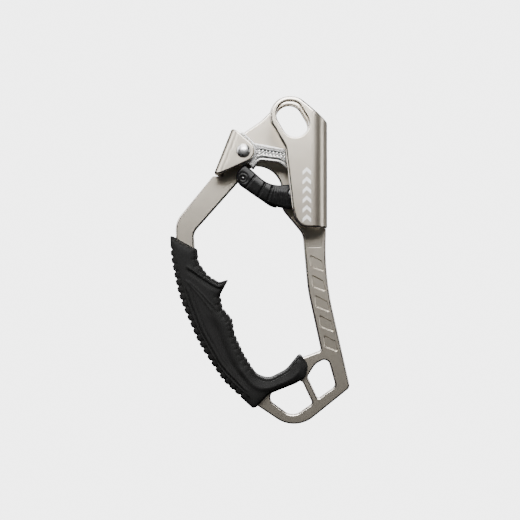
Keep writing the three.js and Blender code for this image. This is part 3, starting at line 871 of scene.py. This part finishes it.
def ribbon(run, width):
    """The closed outline of a stroke of one width along a run."""
    away = np.gradient(run, axis=0)
    away /= np.linalg.norm(away, axis=1)[:, None]
    side = np.stack([-away[:, 1], away[:, 0]], axis=1) * width / 2
    return np.vstack([run + side, (run - side)[::-1]])


def cam_bars():
    """A herringbone of short cast bars on the panel's floor, in two rows."""
    bodies = []
    floor = CAM_SUNK - CAM_HALF
    for row, side in ((0, 1), (1, -1)):
        turn = math.radians(90 - side * CAM_BARS["lean"])
        half = CAM_BARS["length"] / 2 * np.array([math.cos(turn), math.sin(turn)])
        for index in range(CAM_BARS["count"]):
            along = index * CAM_BARS["pitch"]
            middle = np.array(CAM_BARS["start"]) + (along, along * CAM_BARS["slope"])
            middle += row * np.array(CAM_BARS["rows"])
            outline = ribbon(np.array([middle - half, middle + half]), CAM_BARS["width"])
            bodies.append(slab([outline], floor - CAM_BARS["height"], floor + 0.1,
                               CAM_BARS["rim"], BARE, steps=2))
    return bodies


def make_cam():
    outline = spaced(cam_outline(), 0.35)
    bores = [circle(AXLE, HUB_BORE, 72), circle(CATCH_PIVOT, PIVOT_BORE, 40)]
    recesses = [(rounded(CAM_PANEL), CAM_SUNK, CAM_PANEL_WALLS),
                (ribbon(CAM_GROOVE, GROOVE_WIDTH), GROOVE_DEPTH, GROOVE_WALLS)]
    body = slab([outline, *bores], lambda points: -cam_half(points), cam_half, CAM_RIM,
                CAM_RIM, grain_front=0.8, grain_back=0.8, recesses=recesses)
    spikes = []
    for row in range(TEETH["rows"]):
        for column in (-0.5, 0.5) if row % 2 else (-1, 0, 1):
            degrees = TEETH["first"] + row * TEETH["step"]
            spikes.append(tooth(degrees, column * TEETH["apart"]))
    whole = joined(body, *cam_bars(), *spikes)
    piece("cam_jaw", whole, "cam_body", "cam", "cam_steel", CAST)


def tooth(degrees, y):
    """A four-sided spike that leans up the rope."""
    x, z = spiral_point(degrees)
    lean, base = TEETH["lean"], TEETH["base"]
    height, root = TEETH["height"], x - TEETH["root"]
    tip = (x + height * math.cos(lean), y, z + height * math.sin(lean))
    corners = [(root, y - base, z), (root, y, z - base), (root, y + base, z), (root, y, z + base)]
    body = Body()
    body.add_points([*corners, tip])
    body.add_faces([(0, 1, 4), (1, 2, 4), (2, 3, 4), (3, 0, 4), (3, 2, 1, 0)])
    return body


# ---- axle, washers, springs

DOME = {"radius": 4.15, "height": 2.1, "seat": -10.5}
TIP_R = 0.02  # a turned piece's faces close on a pinhole this size


def make_axle():
    radius, height, seat = DOME["radius"], DOME["height"], DOME["seat"]
    dome = [(TIP_R, seat - height)]
    for angle in np.linspace(0.12, math.pi / 2, 12):
        dome.append((radius * math.sin(angle), seat - height * math.cos(angle)))
    rest = [(4.1, -10.42), (AXLE_R, -10.42), (AXLE_R, 10.5), (4, 10.5), (radius, 10.65),
            (radius, 11.3), (4, 11.5), (3.2, 11.95), (2.6, 12.05), (1, 12), (TIP_R, 12)]
    piece("axle_rivet", turned_body(dome + rest, AXLE), "handle", "cam_axle", "rivet_steel")


def ring_profile(inner, outer, low, high, ease=0.12):
    return [(inner, low + ease), (inner + ease, low), (outer - ease, low), (outer, low + ease),
            (outer, high - ease), (outer - ease, high), (inner + ease, high),
            (inner, high - ease), (inner, low + ease)]


TURNED = [  # name, CAD node, slot, what it rides, centre, profile
    ("bush_sleeve", "cam_bush", "bronze", "handle", AXLE, ring_profile(3.05, 3.9, -6.7, 6.7)),
    ("washer_front", "cam_washer_front", "rivet_steel", "handle", AXLE,
     ring_profile(4.02, 6.9, -6.68, -6.1)),
    ("washer_rear", "cam_washer_rear", "rivet_steel", "handle", AXLE,
     ring_profile(4.02, 6.9, 6.1, 6.68)),
    ("catch_hinge_pin", "catch_pin", "rivet_steel", "cam_body", CATCH_PIVOT,
     ring_profile(0.95, 1.95, -6.4, 6.4, 0.25)),
]
STUD = [(TIP_R, -6.1), (0.4, -6), (0.9, -5.4), (0.9, 5.4), (0.4, 6), (TIP_R, 6.1)]


def make_small_parts():
    for name, cad_node, slot, rides, centre, profile in TURNED:
        piece(name, turned_body(profile, centre), rides, cad_node, slot)
    stud = turned_body(STUD, HOOK, 40)
    piece("catch_stop_stud", stud, "catch_body", "catch_stop_pin", "rivet_steel")
    cam_coil = coil_body(AXLE, 4.86, 1, 3.25, 1.3, 5.3)
    piece("cam_return_coil", cam_coil, "handle", "cam_spring", "spring_steel")
    catch_coil = coil_body(CATCH_PIVOT, 2.85, 0.6, 1.5, 3.3, 4.5)
    piece("catch_return_coil", catch_coil, "catch_body", "catch_spring", "spring_steel")


# ---- catch

CATCH = [(-38.5, -7, 1.4), (-23.6, -20.1, 17), (-3.6, -18.7, 6.2), (-3.6, -34.3, 7.6),
         (-23.1, -32, 40), (-46.1, -15.9, 6)]
CATCH_RIM = (1.3, 1.1)
FORK = -19.6  # the fork's floor, in x
CHEEK = TONGUE_HALF + GAP  # the fork's inner faces, in y
CATCH_GROOVES = ((17.8, 1, 0.9), (23.2, 0.7, 0.7), (9.8, 0.7, 0.6))  # along, width, depth
THUMB_PITCH = 1.5  # fine ribs for the thumb
THUMB_DEPTH = 0.22
CATCH_LINE = curve([(-42.5, -11.5), (-36, -17.5), (-28, -23), (-19, -26), (-4, -26.5)])


def catch_relief(points):
    """Cross ribs for the thumb, a broad groove, and a boss round the stop pin."""
    off, along = distance(points, CATCH_LINE)
    boss = np.linalg.norm(points - HOOK, axis=1)
    grooves = np.zeros(len(points))
    for place, width, depth in CATCH_GROOVES:
        here = smooth(width, width * 0.35, np.abs(along - place))
        grooves = np.maximum(grooves, depth * here)
    wave = 0.5 + 0.5 * np.cos(2 * math.pi * along / THUMB_PITCH)
    fine = THUMB_DEPTH * wave * smooth(24.2, 25.2, along)
    ring = 0.15 * smooth(0.6, 0.25, np.abs(boss - 2.9))
    clear = smooth(2.6, 3.4, np.linalg.norm(points - CATCH_PIVOT, axis=1))
    crown = 0.55 * smooth(1.5, 6.5, off)
    return (np.maximum(grooves, ring) + fine) * clear + crown


def make_catch():
    outline = spaced(rounded(CATCH), 0.4)
    eye = circle(CATCH_PIVOT, PIVOT_BORE, 40)
    hook = circle(HOOK, 1.02, 30)
    middle = [(-38.5, -7, 1), (-23.6, -20.1, 6), (FORK, -19.82, 0.2), (FORK, -32.7, 0.2),
              (-23.1, -32, 10), (-46.1, -15.9, 6)]
    loops = [outline, eye, hook]
    near = slab(loops, lambda points: catch_relief(points) - CATCH_HALF, -CHEEK,
                CATCH_RIM, MATED, grain_front=0.4)
    far = slab(loops, CHEEK, lambda points: CATCH_HALF - catch_relief(points),
               MATED, CATCH_RIM, grain_back=0.4)
    core = slab([rounded(middle)], -CHEEK - 0.01, CHEEK + 0.01, MATED, MATED)
    whole = joined(near, far, core)
    piece("thumb_catch", whole, "catch_body", "catch_lever", "catch_plastic")


# ---- grip

GRIP = [(-83, -48.7, 0.8), (-67.5, -57, 0.6), (-66.5, -65, 6), (-61, -72.6, 8),
        (-54.3, -77, 2), (-48.4, -75.3, 0.5), (-53.4, -84.5, 1.5), (-52, -92.6, 4),
        (-46, -99.6, 4), (-44.8, -108, 10), (-39.3, -120.2, 20), (-31.6, -132.6, 8),
        (-24, -135.2, 8), (-13.5, -129.8, 14), (-5.3, -119.8, 1.6), (-0.7, -126, 4),
        (-2, -133.6, 5), (-8, -137.2, 8), (-24, -143.6, 6), (-31.6, -151.4, 1),
        (-33.8, -152, 1.5), (-51.6, -135.6, 40), (-66, -113.6, 80), (-77.8, -85.6, 80),
        (-82.6, -62, 60)]
PAD = [(-82.2, -50.2, 1.6), (-68.4, -57.4, 1.4), (-67.6, -65.6, 6), (-61.8, -73.6, 8),
       (-54.6, -78.4, 2), (-50.6, -77.4, 0.6), (-54.6, -84.8, 1.5), (-53.4, -93.2, 4),
       (-47.4, -100.4, 4), (-46, -108.6, 10), (-40.6, -121, 20), (-32.2, -134, 8),
       (-24, -136.4, 8), (-13, -130.8, 14), (-6, -121.8, 1.6), (-1.9, -126.4, 3.5),
       (-3, -132.9, 4), (-8.6, -136, 8), (-24.6, -142.6, 6), (-32.6, -150.9, 1),
       (-34, -150.6, 1.5), (-50.9, -134.9, 40), (-65.2, -113.3, 80), (-77, -85.5, 80),
       (-81.8, -62, 60)]
PAD_BASE = 0.6  # the front pad's edge line, in y
PAD_CROWN = 1.75  # how far the pads crown over it
PAD_SHOULDER = 5.5  # the crown is full this far in from the edge
PAD_LIMIT = 2.55  # and how far their ridges may reach
PAD_RIM = (0.4, 0.45)
LINER_RIM = (0.4, 0.6)

OUTER_RUN = curve([(-83, -53), (-82.4, -64), (-79.6, -79), (-73.4, -98), (-62.6, -120),
                   (-51.4, -136), (-39, -147.2)])
INNER_RUNS = [curve([(-66.8, -59.5), (-66, -65.4), (-61.2, -72.2), (-56.6, -75.6)]),
              curve([(-52.6, -82.6), (-53.2, -88), (-50.6, -94.6), (-45.6, -101),
                     (-44.2, -109), (-39.2, -120.4), (-33, -130.4)])]
TOOTH_PITCH = 4.5  # on the outer edge
TOOTH_DEPTH = 1.0
FINGER_PITCH = 3.6  # on the inner edges
FINGER_DEPTH = 0.55

SPUR_RIDGE = curve([(-73.7, -66.6), (-64.8, -72.9), (-56.4, -78.3), (-52.6, -79.2), (-50, -77)])
THIN_RIBS = [curve([(-74.3, -74.8), (-66, -83.6), (-57.1, -94.9)]),
             curve([(-72.2, -75.6), (-63.6, -83.8), (-54.5, -93.7)])]
PARTING = curve([(-73.7, -79.8), (-70.3, -90), (-67.2, -98.4), (-64.5, -105.2),
                 (-60.8, -112), (-56.7, -119.5), (-51.6, -127.6), (-37.7, -142.2)])
VALLEY = curve([(-60.1, -95.7), (-55.7, -103.5), (-52.2, -112.7), (-47.9, -122.9),
                (-45.5, -126.7), (-38.4, -135.3), (-32.6, -139.6)])
BAR_RIDGE = curve([(-43.2, -125.2), (-38.4, -132), (-33.7, -136.8), (-29.2, -139.2),
                   (-24.1, -139.2), (-16.9, -136.8), (-9.7, -133.1), (-4.6, -127)])
MOULDED = [  # run, height (below 0 it is cut in), width, fade at its ends
    (PARTING, -0.75, 0.4, 3),
    (PARTING + np.array([1.3, 0.5]), 0.45, 0.55, 3),
    (PARTING + np.array([2.4, 0.9]), -0.3, 0.4, 3),
    (VALLEY, -1.35, 2.3, 12),
    (BAR_RIDGE, 0.95, 1.7, 6),
    (SPUR_RIDGE, 0.9, 0.8, 4),
    (SPUR_RIDGE - np.array([0.4, 1.5]), -0.9, 1.1, 5),
    *[(run, 0.4, 0.45, 2) for run in THIN_RIBS],
]


def teeth(along, pitch=TOOTH_PITCH):
    """1 on a tooth and 0 in the notch after it."""
    share = (along / pitch) % 1
    return np.minimum(smooth(0, 0.2, share), smooth(1, 0.62, share))


def toothed(outline):
    """The outline with notches cut along the grip's outer and inner edges."""
    points = turned_way(spaced(rounded(outline), 0.32), True)
    cut = np.zeros(len(points))
    rows = [(OUTER_RUN, TOOTH_PITCH, TOOTH_DEPTH)]
    rows += [(run, FINGER_PITCH, FINGER_DEPTH) for run in INNER_RUNS]
    for run, pitch, depth in rows:
        off, along = distance(points, run)
        length = np.linalg.norm(np.diff(run, axis=0), axis=1).sum()
        ends = smooth(0.1, 1.5, along) * smooth(length - 0.1, length - 1.5, along)
        near = smooth(3.2, 2.4, off) * ends
        cut = np.maximum(cut, depth * near * (1 - teeth(along, pitch)))
    return points - outward(points) * cut[:, None]


def ridge(points, run, width, fade):
    """1 along a run, falling off to the sides over the width, and towards both ends."""
    off, along = distance(points, run)
    length = np.linalg.norm(np.diff(run, axis=0), axis=1).sum()
    ends = smooth(0, fade, along) * smooth(length, length - fade, along)
    return np.exp(-(off / width) ** 2) * ends


def pad_rise(points):
    """How far a pad's face stands above its edge line, with all that is moulded on it."""
    edge, _ = distance(points, rounded(PAD), closed=True)
    rise = PAD_CROWN * np.sqrt(1 - (1 - np.clip(edge / PAD_SHOULDER, 0, 1)) ** 2)
    outer, along = distance(points, OUTER_RUN)
    band = smooth(4.3, 3.7, outer) * smooth(-60, -74, points[:, 1])
    upper = smooth(2.6, 1.8, outer) * smooth(-55, -60, points[:, 1])
    rise -= (0.45 + 0.55 * (1 - teeth(along))) * np.maximum(band, upper) * smooth(0, 1.5, along)
    for run in INNER_RUNS:
        inner, along = distance(points, run)
        cut = (1 - teeth(along, FINGER_PITCH)) * smooth(0, 1.5, along)
        rise -= 0.35 * smooth(4.2, 2.8, inner) * cut
    for run, height, width, fade in MOULDED:
        rise += height * ridge(points, run, width, fade)
    return np.clip(rise, -0.3, PAD_LIMIT)


def make_grip():
    low, high = MID_PLATE - GRIP_LINER, MID_PLATE + GRIP_LINER
    liner = slab([toothed(GRIP)], low, high, LINER_RIM, LINER_RIM)
    piece("grip_core", liner, "handle", "grip_liner", "grip_rubber")
    pad = [toothed(PAD)]
    near = slab(pad, lambda points: PAD_BASE - pad_rise(points), low - GAP / 2,
                PAD_RIM, MATED, grain_front=0.5)
    far = slab(pad, high + GAP / 2, lambda points: 2 * MID_PLATE - PAD_BASE + pad_rise(points),
               MATED, PAD_RIM, grain_back=0.5)
    piece("grip_pad_front", near, "handle", "grip_front_pad", "grip_rubber")
    piece("grip_pad_rear", far, "handle", "grip_rear_pad", "grip_rubber")


# ---- printed marks

MARKS = {"x": -2.2, "top": -9.6, "count": 6, "pitch": 5.5, "proud": 0.02}
ARROWHEAD = [(0, 0), (-2.45, -2.3), (-2.45, -4.6), (0, -2.3), (2.45, -4.6), (2.45, -2.3)]


def make_marks():
    """Plain arrowheads down the flange, which point the way the tool slides."""
    bodies = []
    for index in range(MARKS["count"]):
        top = MARKS["top"] - index * MARKS["pitch"]
        outline = rounded([(MARKS["x"] + x, top + z, 0.1) for x, z in ARROWHEAD])
        low, high = FLANGE_FACE - MARKS["proud"], FLANGE_FACE + MARKS["proud"]
        bodies.append(slab([outline], low, high, BARE, BARE, steps=1))
    piece("flange_arrows", joined(*bodies), "handle", sharp=SHARP)


# ---- studio

CAMERA = {"place": (-0.0294, -0.5432, -0.0636), "lens": 63.46, "sensor": 36}


def make_camera():
    """A camera in front of the object that looks straight along +Y."""
    data = bpy.data.cameras.new("camera")
    data.sensor_width = CAMERA["sensor"]
    data.lens = CAMERA["lens"]
    camera = placed("camera", data)
    camera.location = CAMERA["place"]
    camera.rotation_euler = (math.pi / 2, 0, 0)
    bpy.context.scene.camera = camera


LIGHTS_AIM = Vector((-0.03, 0, -0.06))
SOFTBOXES = [  # name, azimuth, elevation, size in m, watts
    ("key", 3, 30, (0.8, 0.3), 12.6),
    ("upper", 0, 54, (0.8, 0.4), 6),
    ("top", 0, 76, (0.8, 0.4), 6),
    ("front_left", -58, 38, (0.45, 0.8), 3),
    ("left", -80, 20, (0.3, 0.9), 4),
    ("right", 86, 10, (0.2, 0.6), 1.6),
    ("right_rear", 128, 10, (0.3, 0.6), 0.25),
    ("low_front", 0, -16, (0.6, 0.3), 0.1),
    ("rear", 180, 25, (0.9, 0.5), 10),
]


def softbox(name, azimuth, elevation, size, power):
    """An area light on a sphere of 1 m: azimuth goes from the front to the right."""
    data = bpy.data.lights.new(name, "AREA")
    data.shape = "RECTANGLE"
    data.size, data.size_y = size
    data.energy = power
    lamp = placed(name, data)
    turn, rise = math.radians(azimuth), math.radians(elevation)
    level_out = math.cos(rise)
    lamp.location = LIGHTS_AIM + Vector(
        (level_out * math.sin(turn), -level_out * math.cos(turn), math.sin(rise))
    )
    aim = LIGHTS_AIM - lamp.location
    lamp.rotation_euler = aim.to_track_quat("-Z", "Y").to_euler()


PALE = (0.93, 0.93, 0.93, 1)
PALE_GLOW = 4.9
FLOOR_R = 4.0  # in metres, as is its height
FLOOR_HEIGHT = -0.6
AMBIENT = (1, 0.985, 0.965, 1)
AMBIENT_HEIGHT = (-0.35, 0.4, 0.016, 0.026)  # from and to which height, and the glow there


def make_world():
    """A pale surround to look at, and a dim one, a little brighter upwards, that lights the
    object.
    """
    world = bpy.data.worlds.new("studio")
    bpy.context.scene.world = world
    world.use_nodes = True
    tree = world.node_tree
    seen = tree.nodes["Background"]
    seen.inputs["Color"].default_value = PALE
    seen.inputs["Strength"].default_value = PALE_GLOW
    coords = node(tree, "TexCoord")
    split = node(tree, "SeparateXYZ")
    link(tree, coords.outputs["Generated"], split.inputs["Vector"])
    ambient = node(tree, "Background", {"Color": AMBIENT})
    from_low, from_high, low, high = AMBIENT_HEIGHT
    glow = spread(tree, split.outputs["Z"], low, high, from_low, from_high)
    link(tree, glow, ambient.inputs["Strength"])
    path = node(tree, "LightPath")
    choose = node(tree, "MixShader")
    link(tree, path.outputs["Is Camera Ray"], choose.inputs["Fac"])
    link(tree, ambient.outputs["Background"], choose.inputs[1])
    link(tree, seen.outputs["Background"], choose.inputs[2])
    link(tree, choose.outputs["Shader"], tree.nodes["World Output"].inputs["Surface"])


def make_floor():
    """A pale floor, well below the object, that the camera alone can see."""
    bm = bmesh.new()
    bmesh.ops.create_circle(bm, cap_ends=True, radius=FLOOR_R, segments=64)
    mesh = bpy.data.meshes.new("floor")
    bm.to_mesh(mesh)
    bm.free()
    material = bpy.data.materials.new("pale_floor")
    material.use_nodes = True
    tree = material.node_tree
    tree.nodes.remove(tree.nodes["Principled BSDF"])
    glow = node(tree, "Emission", {"Color": PALE, "Strength": PALE_GLOW})
    link(tree, glow.outputs["Emission"], tree.nodes["Material Output"].inputs["Surface"])
    mesh.materials.append(material)
    floor = placed("floor", mesh)
    floor.location = (0, 0, FLOOR_HEIGHT)
    floor.visible_diffuse = False
    floor.visible_glossy = False


# ---- the scene

make_camera()
make_world()
make_floor()
for lamp in SOFTBOXES:
    softbox(*lamp)

make_frame()
make_cam()
make_axle()
make_small_parts()
make_catch()
make_grip()
make_marks()
